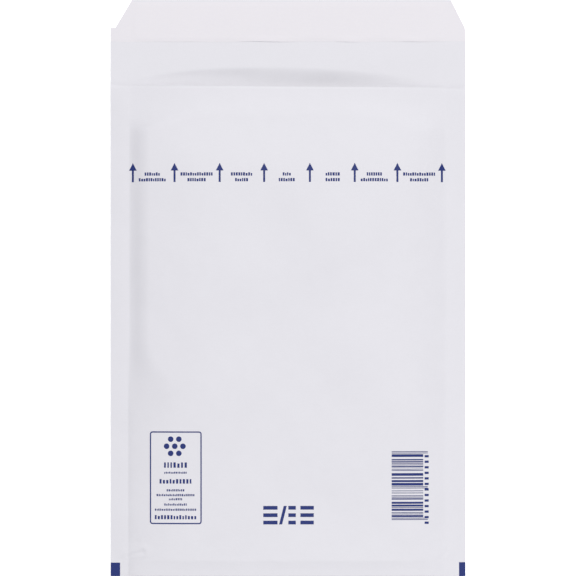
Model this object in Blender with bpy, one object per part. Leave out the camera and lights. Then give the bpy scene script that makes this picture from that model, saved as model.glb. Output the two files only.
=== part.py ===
"""Padded mailing envelope, lying on its address side with the printed side up and the flap open.

One folded sheet of white paper makes the address panel, the flap and the printed panel.
A folded web of bubble film lines it, and the side margins of both are sealed together.
Metres, +Z up. X runs across the envelope and +Y towards the flap. The origin is on the
floor, under the middle of the whole length.
"""

import bpy
import numpy as np

# Outline of the folded sheet
WIDTH = 0.200
BODY_LENGTH = 0.276  # bottom fold to mouth
FLAP_LENGTH = 0.049
SIDE_SEAM = 0.010  # sealed margin along each side

# Corners die-cut from the flap: run along the tip, depth along the side, and side step
LEFT_CORNER_RUN = 0.0093
LEFT_CORNER_DEPTH = 0.0158
LEFT_CORNER_STEP = 0.0027
RIGHT_CORNER_RUN = 0.0082
RIGHT_CORNER_DEPTH = 0.0166
RIGHT_CORNER_STEP = 0.0

# Thickness of each layer, and the air between layers that lie on each other
PAPER = 0.00015
FILM = 0.00015
BUBBLE_HEIGHT = 0.0026
ADHESIVE = 0.0002
LINER = 0.0001
INK = 0.0001
CLEARANCE = 0.0003

# How the padding fills the pocket out
SEAM_HEIGHT = 0.0026  # underside of the sealed margins above the floor
SHOULDER_RUN = 0.017  # from the seam to the full depth of padding
MOUTH_SHOULDER_RUN = 0.030  # the same, at the mouth
MOUTH_RUN = 0.022  # length over which the shoulder widens towards the mouth
LIP_RUN = 0.015  # length over which the bubbles flatten towards the mouth
LIP_FLATTENING = 0.2  # share of the bubble height lost at the mouth
POCKET_GAPE = 0.0060  # free height in the middle of the open pocket
BOTTOM_GAPE_SHARE = 0.15  # share of that height left at the bottom
GAPE_POWER = 3  # how squarely the gape fills the width
CROWN_RUN = 0.110  # length over which the gape grows from the bottom
BOTTOM_MARGIN = 0.009  # stretch next to the bottom fold, pressed level
MARGIN_PRESSING = 0.1  # share of the bubble height lost there
MARGIN_RUN = 0.002  # length of the crease above it
FOLD_DEPTH = 0.0024  # how far the bottom fold rounds off, at most
LINING_RECESS = 0.003  # lining's edge inside the mouth

# The open flap
DIP_RUN = 0.0125  # from the mouth to where the flap lies level with the seams
FLAP_TIP_HEIGHT = 0.0005  # underside of the drooping tip above the floor

# The peel-off closure
LINER_WIDTH = 0.0223
LINER_MARGIN = 0.0011  # bare paper beyond the liner at the flap's tip
ADHESIVE_INSET = 0.0026  # liner beyond the adhesive on its long edges
ADHESIVE_END_INSET = 0.0150  # the same at its ends

# Row of arrows below the closed flap's edge
ARROW_TIP = 0.0432  # from the mouth
ARROW_LENGTH = 0.0107
ARROW_HEAD_LENGTH = 0.0042
ARROW_HEAD_WIDTH = 0.0043
ARROW_STEM_WIDTH = 0.0012
FIRST_ARROW = 0.0126  # from the left edge
LAST_ARROW = 0.0133  # from the right edge
ARROW_SHARES = (0.96, 1.01, 1.01, 1.03, 1.01, 0.96, 1.02)  # how the steps divide the row

# Label frame, bar field, block mark and the two web marks at the bottom corners
FRAME_WIDTH, FRAME_HEIGHT = 0.0292, 0.0522
FRAME_LINE = 0.0006
FRAME_CORNER = 0.0016
FRAME_FROM_LEFT, FRAME_FROM_BOTTOM = 0.0219, 0.0294
BARS_WIDTH, BARS_HEIGHT = 0.0178, 0.0386
BARS_SPINE = 0.0012
BARS_FROM_RIGHT, BARS_FROM_BOTTOM = 0.0232, 0.0319
BAR_COUNT = 15
BLOCK_HEIGHT = 0.0104
BLOCK_FROM_BOTTOM = 0.0294
BLOCK_WIDTHS = (0.0080, 0.0042, 0.0075)
BLOCK_SLASH_WIDTH = 0.0018
BLOCK_SLANT = 0.0030
BLOCK_GAP = 0.0009
MARK_HEIGHT = 0.0076
LEFT_MARK_WIDTH, RIGHT_MARK_WIDTH = 0.0049, 0.0031

# Places that follow from the sizes
X_EDGE = WIDTH / 2
X_SEAM = X_EDGE - SIDE_SEAM
Y_BOTTOM = -(BODY_LENGTH + FLAP_LENGTH) / 2
Y_MOUTH = Y_BOTTOM + BODY_LENGTH
Y_TIP = Y_MOUTH + FLAP_LENGTH
Y_BASE = Y_BOTTOM + BOTTOM_MARGIN

# Resolution
SHOULDER_STEPS = (0.0, 0.1, 0.22, 0.38, 0.58, 0.8)
CROWN_STEPS = 6
DIP_STEPS = 6
DROOP_STEPS = 5
LIP_STEPS = 3
BODY_STEPS = 5
BASE_STEPS = 6
FOLD_STEPS = 6
CORNER_STEPS = 4
OUTLINE_STEP = 0.004


def clear_scene():
    for thing in list(bpy.data.objects):
        bpy.data.objects.remove(thing, do_unlink=True)


def ease(share):
    """Smooth rise from 0 to 1 as share goes from 0 to 1."""
    share = np.clip(share, 0, 1)
    return share * share * (3 - 2 * share)


def bulge(share):
    """Rise from 0 to 1 that starts with a crease and ends level."""
    return 1 - (1 - np.clip(share, 0, 1)) ** 2


def fill(x, y):
    """0 on the sealed margins, 1 where the padding has its full depth."""
    towards_mouth = ease((y - Y_MOUTH + MOUTH_RUN) / MOUTH_RUN)
    run = SHOULDER_RUN + (MOUTH_SHOULDER_RUN - SHOULDER_RUN) * towards_mouth
    return bulge((X_SEAM - np.abs(x)) / run)


def padding(x, y):
    """Thickness of one layer of bubble film."""
    flattened = LIP_FLATTENING * ease((y - Y_MOUTH + LIP_RUN) / LIP_RUN)
    pressed = MARGIN_PRESSING * (1 - ease((y - Y_BASE) / MARGIN_RUN))
    return FILM + BUBBLE_HEIGHT * fill(x, y) * (1 - flattened) * (1 - pressed)


def gape(x, y):
    """Free height between the two layers of lining."""
    across = 1 - np.clip(np.abs(x) / X_SEAM, 0, 1) ** GAPE_POWER
    along = BOTTOM_GAPE_SHARE + (1 - BOTTOM_GAPE_SHARE) * bulge((y - Y_BASE) / CROWN_RUN)
    return POCKET_GAPE * across * along


def paper_underside(x, y):
    """Underside of the address panel and, past the mouth, of the flap."""
    past_mouth = np.clip((y - Y_MOUTH) / FLAP_LENGTH, 0, 1)
    level = SEAM_HEIGHT + (FLAP_TIP_HEIGHT - SEAM_HEIGHT) * past_mouth**2
    sunk = fill(x, np.minimum(y, Y_MOUTH)) * (1 - ease((y - Y_MOUTH) / DIP_RUN))
    return level * (1 - sunk)


def lining_levels(x, y):
    """Outer and inner face of the lower layer, then inner and outer face of the upper one."""
    lower_outer = paper_underside(x, y) + PAPER + CLEARANCE
    lower_inner = lower_outer + padding(x, y)
    upper_inner = lower_inner + gape(x, y)
    return lower_outer, lower_inner, upper_inner, upper_inner + padding(x, y)


def paper_topside(x, y):
    """Top of the printed panel."""
    return lining_levels(x, y)[3] + CLEARANCE + PAPER


def fold_half_height(x):
    """Half the envelope's thickness at the bottom fold."""
    return (paper_topside(x, Y_BASE) - paper_underside(x, Y_BASE)) / 2


def columns():
    """Places across the sheet: the edge, the seam, the shoulder and the crown, and their mirror."""
    shoulder = X_SEAM - SHOULDER_RUN * np.array(SHOULDER_STEPS)
    crown = np.linspace(X_SEAM - SHOULDER_RUN, 0, CROWN_STEPS + 1)
    right = np.concatenate([[X_EDGE], shoulder, crown])
    return np.concatenate([-right, right[-2::-1]])


def body_rows():
    """Places along the pocket, from the lining's edge at the mouth to the start of the fold zone."""
    lip = Y_MOUTH - np.linspace(LINING_RECESS, MOUTH_RUN, LIP_STEPS + 1)
    body = np.linspace(Y_MOUTH - MOUTH_RUN, Y_BASE + CROWN_RUN, BODY_STEPS + 1)[1:]
    base = Y_BASE + CROWN_RUN * (1 - np.linspace(0, 1, BASE_STEPS + 1)[1:-1])
    return np.concatenate([lip, body, base, [Y_BASE + MARGIN_RUN, Y_BASE]])


def surface(x, y, height):
    """Grid of points, one row for each y, from a height function."""
    across, along = np.meshgrid(x, y)
    return np.stack([across, along, height(across, along)], axis=2)


def fold_rows(x, inset, steps):
    """Rows of the bottom fold, from the lower panel round to the upper one, inset from the paper."""
    height = fold_half_height(x)
    depth = np.minimum(height, FOLD_DEPTH)
    middle = paper_underside(x, Y_BASE) + height
    rows = []
    for turn in np.linspace(-np.pi / 2, np.pi / 2, steps + 1):
        y = Y_BOTTOM + depth - (depth - inset) * np.cos(turn)
        rows.append(np.stack([x, y, middle + (height - inset) * np.sin(turn)], axis=1))
    return np.stack(rows)


def quads(index):
    """Faces of a grid of vertex numbers."""
    corners = index[:-1, :-1], index[:-1, 1:], index[1:, 1:], index[1:, :-1]
    return np.stack(corners, axis=2).reshape(-1, 4).tolist()


def band(first, second):
    """Faces between two rows of vertex numbers."""
    return quads(np.stack([first, second]))


def make_material(name, colour, roughness, alpha=1.0):
    material = bpy.data.materials.new(name)
    material.use_nodes = True
    shader = material.node_tree.nodes["Principled BSDF"]
    shader.inputs["Base Color"].default_value = (*colour, 1.0)
    shader.inputs["Roughness"].default_value = roughness
    shader.inputs["Metallic"].default_value = 0.0
    shader.inputs["Alpha"].default_value = alpha
    material.diffuse_color = (*colour, alpha)
    return material


def make_object(name, points, faces, material):
    """Mesh object whose place is in its vertices, shaded smooth except at its sharp edges."""
    mesh = bpy.data.meshes.new(name)
    mesh.from_pydata(np.asarray(points).reshape(-1, 3).tolist(), [], faces)
    mesh.materials.append(material)
    mesh.shade_smooth()
    mesh.set_sharp_from_angle(angle=np.radians(30))
    thing = bpy.data.objects.new(name, mesh)
    bpy.context.scene.collection.objects.link(thing)
    return thing


def slab(bottom, top):
    """Points and faces of the closed solid between two grids of the same size."""
    rows, across = bottom.shape[:2]
    low = np.arange(rows * across).reshape(rows, across)
    high = low + rows * across
    faces = quads(low[:, ::-1]) + quads(high)
    faces += band(low[0], high[0]) + band(high[-1], low[-1])
    faces += band(high[:, 0], low[:, 0]) + band(low[:, -1], high[:, -1])
    return np.concatenate([bottom.reshape(-1, 3), top.reshape(-1, 3)]), faces


def corner_cutter(name, side, run, depth, step):
    """Prism that trims one corner of the flap, standing through the sheet."""
    outside = side * (X_EDGE + SIDE_SEAM)
    inner = side * (X_EDGE - step)
    outline = [
        (outside, Y_TIP - depth),
        (inner, Y_TIP - depth),
        (inner - side * run, Y_TIP),
        (inner - side * 2 * run, Y_TIP + depth),
        (outside, Y_TIP + depth),
    ]
    if side > 0:
        outline.reverse()
    count = len(outline)
    reach = 2 * SEAM_HEIGHT + POCKET_GAPE
    points = [(x, y, z) for z in (-reach, reach) for x, y in outline]
    faces = [list(range(count))[::-1], list(range(count, 2 * count))]
    faces += [[i, (i + 1) % count, (i + 1) % count + count, i + count] for i in range(count)]
    mesh = bpy.data.meshes.new(name)
    mesh.from_pydata(points, [], faces)
    cutter = bpy.data.objects.new(name, mesh)
    bpy.context.scene.collection.objects.link(cutter)
    cutter.hide_render = True
    cutter.display_type = "WIRE"
    return cutter


def trim_corners(thing, cutters):
    for cutter in cutters:
        cut = thing.modifiers.new(cutter.name, "BOOLEAN")
        cut.operation = "DIFFERENCE"
        cut.solver = "EXACT"
        cut.object = cutter


def make_paper(material, cutters):
    """The folded sheet: one skin from the flap's tip round the bottom fold to the upper lip."""
    x = columns()
    dip = Y_MOUTH + DIP_RUN * np.linspace(1, 0, DIP_STEPS + 1)
    droop = np.linspace(Y_TIP, Y_MOUTH + DIP_RUN, DROOP_STEPS + 1)[:-1]
    flap = surface(x, np.concatenate([droop, dip]), paper_underside)
    rows = body_rows()
    lower = surface(x, rows, paper_underside)
    upper = surface(x, np.concatenate([rows[::-1], [Y_MOUTH]]), paper_topside)
    skin = np.concatenate([flap, lower, fold_rows(x, 0, FOLD_STEPS), upper])
    index = np.arange(skin.shape[0] * skin.shape[1]).reshape(skin.shape[:2])
    sheet = make_object("paper_envelope", skin, quads(index), material)
    thickness = sheet.modifiers.new("paper_thickness", "SOLIDIFY")
    thickness.thickness = PAPER
    thickness.offset = -1
    trim_corners(sheet, cutters)
    return sheet


def make_lining(material):
    """The folded bubble film: a pocket, open at the mouth, whose margins are one sealed flange."""
    x = columns()
    y = body_rows()
    levels = [surface(x, y, lambda a, b, k=k: lining_levels(a, b)[k]) for k in range(4)]
    lower_outer, lower_inner, upper_inner, upper_outer = levels
    skin = np.concatenate([lower_outer, fold_rows(x, PAPER + CLEARANCE, FOLD_STEPS), upper_outer[::-1]])
    outer = np.arange(skin.shape[0] * skin.shape[1]).reshape(skin.shape[:2])
    # The pocket's two faces share their side columns, where the film is sealed to itself.
    depth = np.minimum(fold_half_height(x), FOLD_DEPTH)
    bed = np.stack([x, Y_BOTTOM + depth, paper_underside(x, Y_BASE) + fold_half_height(x)], axis=1)
    floor_face = np.concatenate([lower_inner, bed[None]])[:, 1:-1]
    roof_face = upper_inner[::-1, 2:-2]
    start = outer.size
    lower = start + np.arange(floor_face.shape[0] * floor_face.shape[1]).reshape(floor_face.shape[:2])
    start += lower.size
    inside = start + np.arange(roof_face.shape[0] * roof_face.shape[1]).reshape(roof_face.shape[:2])
    ends = lower[:-1][::-1]
    upper = np.column_stack([ends[:, 0], inside, ends[:, -1]])
    pocket = np.concatenate([lower, upper])
    faces = quads(outer) + quads(pocket[:, ::-1])
    faces += band(pocket[0], outer[0, 1:-1]) + band(outer[-1, 1:-1], pocket[-1])
    for edge, inner_edge, turned in ((0, 1, True), (-1, -2, False)):
        side = [outer[0, edge], outer[0, inner_edge], pocket[0, edge], outer[-1, inner_edge], outer[-1, edge]]
        faces.append(side[::-1] if turned else side)
    half = skin.shape[0] // 2
    for edge, turned in ((0, False), (-1, True)):
        strip = band(outer[:half, edge], outer[::-1][:half, edge])
        if skin.shape[0] % 2:
            strip.append([outer[half - 1, edge], outer[half, edge], outer[half + 1, edge]])
        faces += [face[::-1] for face in strip] if turned else strip
    points = np.concatenate([part.reshape(-1, 3) for part in (skin, floor_face, roof_face)])
    return make_object("bubble_lining", points, faces, material)


def on_flap(x, y, lift):
    """Grid of points that lie the given height above the flap's inner face."""
    return surface(x, y, lambda a, b: paper_underside(a, b) + PAPER + lift)


def make_closure(adhesive_material, liner_material, cutters):
    """The band of adhesive on the flap and the paper strip that covers it."""
    high = Y_TIP - LINER_MARGIN
    low = high - LINER_WIDTH
    ends = np.array([-1, 1]) * (X_EDGE - ADHESIVE_END_INSET)
    y = np.linspace(low + ADHESIVE_INSET, high - ADHESIVE_INSET, DROOP_STEPS)
    points, faces = slab(on_flap(ends, y, CLEARANCE), on_flap(ends, y, CLEARANCE + ADHESIVE))
    make_object("adhesive_strip", points, faces, adhesive_material)
    ends = np.array([-X_EDGE, X_EDGE])
    y = np.linspace(low, high, DROOP_STEPS)
    base = 2 * CLEARANCE + ADHESIVE
    points, faces = slab(on_flap(ends, y, base), on_flap(ends, y, base + LINER))
    trim_corners(make_object("release_liner", points, faces, liner_material), cutters)


def finer(outline):
    """The outline with points added along its long edges, so that it follows the panel."""
    points = []
    for (x0, y0), (x1, y1) in zip(outline, outline[1:] + outline[:1]):
        steps = max(1, int(np.ceil(np.hypot(x1 - x0, y1 - y0) / OUTLINE_STEP)))
        points += [(x0 + (x1 - x0) * k / steps, y0 + (y1 - y0) * k / steps) for k in range(steps)]
    return points


def on_panel(points, lift):
    x, y = np.array(points).T
    return np.stack([x, y, paper_topside(x, y) + lift], axis=1)


def print_shape(name, outline, material):
    """Thin solid of ink with this outline, given anticlockwise, on the printed panel."""
    outline = finer(outline)
    count = len(outline)
    points = np.concatenate([on_panel(outline, CLEARANCE), on_panel(outline, CLEARANCE + INK)])
    faces = [list(range(count))[::-1], list(range(count, 2 * count))]
    faces += [[i, (i + 1) % count, (i + 1) % count + count, i + count] for i in range(count)]
    return make_object(name, points, faces, material)


def rectangle(left, bottom, width, height):
    right, top = left + width, bottom + height
    return [(left, bottom), (right, bottom), (right, top), (left, top)]


def rounded_rectangle(left, bottom, width, height, radius):
    """Outline with a quarter circle at each corner."""
    centres = rectangle(left + radius, bottom + radius, width - 2 * radius, height - 2 * radius)
    outline = []
    for corner, (x, y) in enumerate(centres):
        turns = np.pi * (1 + corner / 2) + np.linspace(0, np.pi / 2, CORNER_STEPS + 1)
        outline += [(x + radius * np.cos(t), y + radius * np.sin(t)) for t in turns]
    return outline


def make_arrows(material):
    """The row of arrows that points at the closed flap's edge."""
    shares = np.concatenate([[0], np.cumsum(ARROW_SHARES)]) / sum(ARROW_SHARES)
    places = -X_EDGE + FIRST_ARROW + (WIDTH - FIRST_ARROW - LAST_ARROW) * shares
    tip = Y_MOUTH - ARROW_TIP
    neck = tip - ARROW_HEAD_LENGTH
    tail = tip - ARROW_LENGTH
    stem, head = ARROW_STEM_WIDTH / 2, ARROW_HEAD_WIDTH / 2
    for number, x in enumerate(places, 1):
        outline = [
            (x - stem, tail), (x + stem, tail), (x + stem, neck), (x + head, neck),
            (x, tip), (x - head, neck), (x - stem, neck),
        ]
        print_shape(f"printed_arrow_{number}", outline, material)


def make_label_frame(material):
    """The outline of a label with round corners, as one ring."""
    left, bottom = -X_EDGE + FRAME_FROM_LEFT, Y_BOTTOM + FRAME_FROM_BOTTOM
    inner = finer(
        rounded_rectangle(
            left + FRAME_LINE, bottom + FRAME_LINE, FRAME_WIDTH - 2 * FRAME_LINE,
            FRAME_HEIGHT - 2 * FRAME_LINE, FRAME_CORNER - FRAME_LINE,
        )
    )
    centre = np.array([left + FRAME_WIDTH / 2, bottom + FRAME_HEIGHT / 2])
    straight = np.array([FRAME_WIDTH / 2, FRAME_HEIGHT / 2]) - FRAME_CORNER
    away = np.array(inner) - centre
    nearest = np.clip(away, -straight, straight)
    reach = np.linalg.norm(away - nearest, axis=1, keepdims=True)
    outer = centre + nearest + (away - nearest) * (reach + FRAME_LINE) / reach
    count = len(inner)
    rings = [on_panel(inner, CLEARANCE), on_panel(outer, CLEARANCE),
             on_panel(outer, CLEARANCE + INK), on_panel(inner, CLEARANCE + INK)]
    index = np.arange(4 * count).reshape(4, count)
    index = np.column_stack([index, index[:, 0]])
    closed = np.concatenate([index, index[:1]])
    make_object("printed_label_frame", np.concatenate(rings), quads(closed), material)


def make_bar_field(material):
    """A comb of bars of mixed widths, joined along one side by a spine."""
    left = X_EDGE - BARS_FROM_RIGHT - BARS_WIDTH
    bottom = Y_BOTTOM + BARS_FROM_BOTTOM
    widths = np.array([2 + (i * i) % 3 for i in range(BAR_COUNT)], float)
    gaps = np.array([2 + (i * 2) % 3 for i in range(BAR_COUNT - 1)] + [0], float)
    unit = BARS_HEIGHT / (widths.sum() + gaps.sum())
    low = bottom + unit * np.concatenate([[0], np.cumsum(widths + gaps)[:-1]])
    high = low + unit * widths
    right = left + BARS_WIDTH
    outline = [(right + BARS_SPINE, bottom), (right + BARS_SPINE, bottom + BARS_HEIGHT)]
    for y0, y1 in zip(low[::-1], high[::-1]):
        outline += [(right, y1), (left, y1), (left, y0), (right, y0)]
    outline = [point for point in outline if point not in ((right, bottom), (right, high[-1]))]
    print_shape("printed_bar_field", outline, material)


def make_block_mark(material):
    """Three plain blocks, with a slanted bar after the first."""
    bottom = Y_BOTTOM + BLOCK_FROM_BOTTOM
    top = bottom + BLOCK_HEIGHT
    slash = BLOCK_SLASH_WIDTH + BLOCK_SLANT
    total = sum(BLOCK_WIDTHS) + slash + BLOCK_GAP * len(BLOCK_WIDTHS)
    left = -total / 2
    for number, width in enumerate(BLOCK_WIDTHS, 1):
        print_shape(f"printed_block_{number}", rectangle(left, bottom, width, BLOCK_HEIGHT), material)
        left += width + BLOCK_GAP
        if number == 1:
            outline = [(left, bottom), (left + BLOCK_SLASH_WIDTH, bottom), (left + slash, top),
                       (left + BLOCK_SLANT, top)]
            print_shape("printed_slanted_bar", outline, material)
            left += slash + BLOCK_GAP


def make_web_marks(material):
    """The marks, cut through at the sides, that guide the printed web."""
    low = Y_BOTTOM + float(fold_half_height(X_EDGE))
    height = Y_BOTTOM + MARK_HEIGHT - low
    left = rectangle(-X_EDGE, low, LEFT_MARK_WIDTH, height)
    right = rectangle(X_EDGE - RIGHT_MARK_WIDTH, low, RIGHT_MARK_WIDTH, height)
    print_shape("printed_web_mark_left", left, material)
    print_shape("printed_web_mark_right", right, material)


def main():
    clear_scene()
    paper = make_material("white_paper", (0.79, 0.78, 0.83), 0.75)
    film = make_material("bubble_film", (0.82, 0.85, 0.88), 0.25, 0.6)
    adhesive = make_material("hot_melt", (0.80, 0.74, 0.58), 0.35)
    liner = make_material("release_paper", (0.84, 0.81, 0.86), 0.45)
    ink = make_material("blue_ink", (0.032, 0.045, 0.180), 0.6)
    cutters = [
        corner_cutter("left_cutter", -1, LEFT_CORNER_RUN, LEFT_CORNER_DEPTH, LEFT_CORNER_STEP),
        corner_cutter("right_cutter", 1, RIGHT_CORNER_RUN, RIGHT_CORNER_DEPTH, RIGHT_CORNER_STEP),
    ]
    make_paper(paper, cutters)
    make_lining(film)
    make_closure(adhesive, liner, cutters)
    make_arrows(ink)
    make_label_frame(ink)
    make_bar_field(ink)
    make_block_mark(ink)
    make_web_marks(ink)


main()
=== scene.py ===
# %% [markdown]
# # A padded envelope, open and lying flat
#
# The real object is one sheet of white kraft paper, folded once at the bottom and lined
# with bubble film. Its sides are sealed, its flap lies open, and a peel-off strip covers
# the adhesive on the flap. The solids of the model give the sizes. This lesson makes the
# fine surfaces over them: paper that swells over the padding, film with its bubbles, the
# strip with its lifted edge, and the ink.
#
# Everything is in metres. X runs across the envelope, Y towards the flap, Z up.

# %% Load the solids and keep their box
import math

import bpy
import numpy as np
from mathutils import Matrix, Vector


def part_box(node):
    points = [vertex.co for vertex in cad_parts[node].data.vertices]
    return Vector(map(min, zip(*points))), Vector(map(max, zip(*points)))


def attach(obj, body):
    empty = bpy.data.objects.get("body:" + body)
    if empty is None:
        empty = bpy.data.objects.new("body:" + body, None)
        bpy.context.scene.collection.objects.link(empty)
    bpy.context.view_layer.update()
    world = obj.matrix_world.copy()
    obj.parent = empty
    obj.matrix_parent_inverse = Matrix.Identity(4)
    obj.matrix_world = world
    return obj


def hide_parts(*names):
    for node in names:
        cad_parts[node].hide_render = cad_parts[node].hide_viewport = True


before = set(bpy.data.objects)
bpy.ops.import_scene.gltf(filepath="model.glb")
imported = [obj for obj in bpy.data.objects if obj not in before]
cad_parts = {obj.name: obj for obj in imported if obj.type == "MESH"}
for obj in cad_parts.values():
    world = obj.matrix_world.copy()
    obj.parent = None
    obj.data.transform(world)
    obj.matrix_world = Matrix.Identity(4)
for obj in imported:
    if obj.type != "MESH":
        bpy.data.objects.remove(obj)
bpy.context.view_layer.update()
MM = 0.001
sheet_low, sheet_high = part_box("paper_envelope")
print("nodes:", len(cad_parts))

# %% [markdown]
# ## Sizes
#
# The outline comes from the solids. The rest are the sizes that a maker of envelopes would
# write down. Each has a name, so a reader can change one and see what follows.

# %% Sizes of the paper, the film and the pocket
X_EDGE = sheet_high.x
Y_TIP = sheet_high.y
Y_BOTTOM = sheet_low.y
FLAP_LENGTH = 49 * MM
SIDE_SEAM = 10 * MM
X_SEAM = X_EDGE - SIDE_SEAM
Y_MOUTH = Y_TIP - FLAP_LENGTH
BOTTOM_MARGIN = 9 * MM
Y_BASE = Y_BOTTOM + BOTTOM_MARGIN

# Layers: thickness, and how high the seams lie over the floor.
PAPER = 0.15 * MM
FILM = 0.12 * MM
AIR = 0.05 * MM
BUBBLE_HEIGHT = 2.85 * MM
SEAM_HEIGHT = 2.6 * MM

# Shoulders: width of the climb from a seam, its straight share, its bend and a step.
LEFT_SHOULDER = 12.2 * MM
LEFT_SHOULDER_BELOW = 34 * MM
LEFT_EASES_AT = (-30 * MM, -72 * MM)
RIGHT_SHOULDER = 26 * MM
MOUTH_SHOULDER = 70 * MM
STEEP_STRAIGHT = 0.34
WIDE_STRAIGHT = 0.1
SHOULDER_BEND = 1.1 * MM
SEAM_STEP = 0.9 * MM
STEP_RUN = 2.2 * MM

# Mouth: where the shoulders widen, and how far the bubbles are pressed at the lip.
MOUTH_RUN = 25 * MM
MOUTH_END = 8 * MM
LIP_RUN = 18 * MM
LIP_FLATTENING = 0.4
LIP_TILT = 0.7 * MM

# Pocket: its free height, less at the bottom and at the mouth, and its bottom fold.
POCKET_GAPE = 5.4 * MM
BOTTOM_GAPE_SHARE = 0.5
CROWN_RUN = 170 * MM
MOUTH_CLOSING = 0.65
CLOSING_RUN = 50 * MM
MARGIN_DROP = 0.6 * MM
FOLD_DEPTH = 0.8 * MM
LINING_RECESS = 3 * MM

# %% [markdown]
# ## The shape of a filled pocket
#
# Padding lifts the paper from the sealed margins. Along each seam the paper turns up, climbs
# straight over the edge of the first bubbles and flattens out, so the profile is a short
# bend, a straight stretch and a parabola that ends level. The left shoulder is steep above
# and wide below, where less air is left in the film. Towards the mouth both shoulders widen,
# and the bubbles are pressed flatter. All of this is functions of x and y that return whole
# arrays of heights. Paper, film, bubbles and ink share them, so they fit each other.

# %% Profiles used everywhere
def mix(first, second, share):
    """Value between two others: the first where the share is 0, the second where it is 1."""
    return first + (second - first) * share


def ease(share):
    """Smooth rise from 0 to 1: three times the square minus twice the cube."""
    share = np.clip(share, 0, 1)
    return share * share * (3 - 2 * share)


def bulge(share):
    """Rise from 0 to 1 that starts with a crease and ends level: a parabola."""
    return 1 - (1 - np.clip(share, 0, 1)) ** 2


def shoulder(share, straight, bend):
    """Rise from 0 to 1: an exponential bend, a straight stretch, then a parabola."""
    share = np.clip(share, 0, 1)
    share = share - bend * (1 - np.exp(-share / bend))
    curved = 1 - bend - straight
    climb = np.minimum(share, straight) + curved / 2 * bulge((share - straight) / curved)
    return climb / (straight + curved / 2)


def left_eased(y):
    """0 where the left shoulder is steep, 1 where it is wide."""
    return ease((LEFT_EASES_AT[0] - y) / (LEFT_EASES_AT[0] - LEFT_EASES_AT[1]))


def fill(x, y):
    """0 on the sealed margins, 1 where the padding has its full depth."""
    wide = left_eased(y)
    side = np.where(x < 0, mix(LEFT_SHOULDER, LEFT_SHOULDER_BELOW, wide), RIGHT_SHOULDER)
    straight = np.where(x < 0, mix(STEEP_STRAIGHT, WIDE_STRAIGHT, wide), WIDE_STRAIGHT)
    at_mouth = ease((y - Y_MOUTH + MOUTH_RUN) / (MOUTH_RUN - MOUTH_END))
    side = mix(side, MOUTH_SHOULDER, at_mouth)
    return shoulder((X_SEAM - np.abs(x)) / side, straight, SHOULDER_BEND / side)


def seam_step(x, y):
    """Small steep rise right at the left seam, where the shoulder beyond it is wide. It fades
    out over the width of that shoulder."""
    inside = np.clip(x + X_SEAM, 0, None)
    rise = SEAM_STEP * left_eased(y) * (1 - np.exp(-inside / STEP_RUN))
    return rise * (1 - ease(inside / LEFT_SHOULDER_BELOW))


def bubble_depth(x, y):
    """Height of a bubble at this place: full in the pocket, pressed flatter at the mouth."""
    at_lip = LIP_FLATTENING * ease((y - Y_MOUTH + LIP_RUN) / LIP_RUN)
    return BUBBLE_HEIGHT * fill(x, y) * (1 - at_lip)


def gape(x, y):
    """Free height: a cubic across the width times the root of the fill, growing from the
    bottom and less again at the mouth."""
    across = (1 - np.clip(np.abs(x) / X_SEAM, 0, 1) ** 3) * fill(x, y) ** 0.5
    along = mix(BOTTOM_GAPE_SHARE, 1, ease((y - Y_BASE) / CROWN_RUN))
    closing = 1 - MOUTH_CLOSING * ease((y - Y_MOUTH + CLOSING_RUN) / CLOSING_RUN)
    return POCKET_GAPE * across * along * closing


print("thickness in the middle, mm:", round(float(gape(0, 0) + 2 * bubble_depth(0, 0)) / MM, 2))

# %% [markdown]
# ## The dip in front of the mouth
#
# Where the flap leaves the mouth, the sheet sinks between the two seams. It ends in a soft
# crease, in the shape of a crescent that is longer on the left. The crescent is one formula:
# a quick rise from the left seam times a slow fall to the right one.

# %% Dip of the flap
DIP_LEFT = -95 * MM
DIP_RIGHT = 100 * MM
DIP_LENGTH = 13.4 * MM
LEAST_DIP_LENGTH = 0.6 * MM
DIP_DEPTH_SHARE = 0.8
CREST_STEEPNESS = 1.25
LEFT_STEEPNESS = 3.0
FLAP_TIP_HEIGHT = 0.5 * MM


def along_mouth(x):
    """0 at the left end of the dip and 1 at its right end."""
    return np.clip((x - DIP_LEFT) / (DIP_RIGHT - DIP_LEFT), 0, 1)


def dip_length(x):
    """Length of the dip at x: rises as 1 - exp(-(t/0.16)^0.9), falls as 1 - t^3.2."""
    t = along_mouth(x)
    return DIP_LENGTH * (1 - np.exp(-((t / 0.16) ** 0.9))) * (1 - t**3.2)


def dip_share(x):
    """Depth of the dip at the mouth: rises as 1 - exp(-(t/0.27)^2), and fades out on the
    right from t = 0.56 to 0.9."""
    t = along_mouth(x)
    return DIP_DEPTH_SHARE * (1 - np.exp(-((t / 0.27) ** 2))) * (1 - ease((t - 0.56) / 0.34))


def sunk_flap(x, y):
    """Smooth fall from the flap's level to the mouth. The power keeps it near the crest, and
    more so at the left, where the sheet is creased."""
    along = np.clip((y - Y_MOUTH) / np.maximum(dip_length(x), LEAST_DIP_LENGTH), 0, 1)
    power = mix(CREST_STEEPNESS, LEFT_STEEPNESS, 1 - ease(along_mouth(x) / 0.55))
    return dip_share(x) * (1 - ease(along**power))


print("dip from left to right, mm:", np.round(dip_length(np.linspace(-X_SEAM, X_SEAM, 7)) / MM, 1))

# %% [markdown]
# ## Paper is never quite flat
#
# A sheet stretched over bubbles has slow waves a few centimetres long, and short creases at
# its bottom corners. The waves are a sum of cosines whose directions come from a seeded
# generator, so each run gives the same sheet. A crease is a shallow furrow: a bell curve of
# the distance to a short line.

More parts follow.
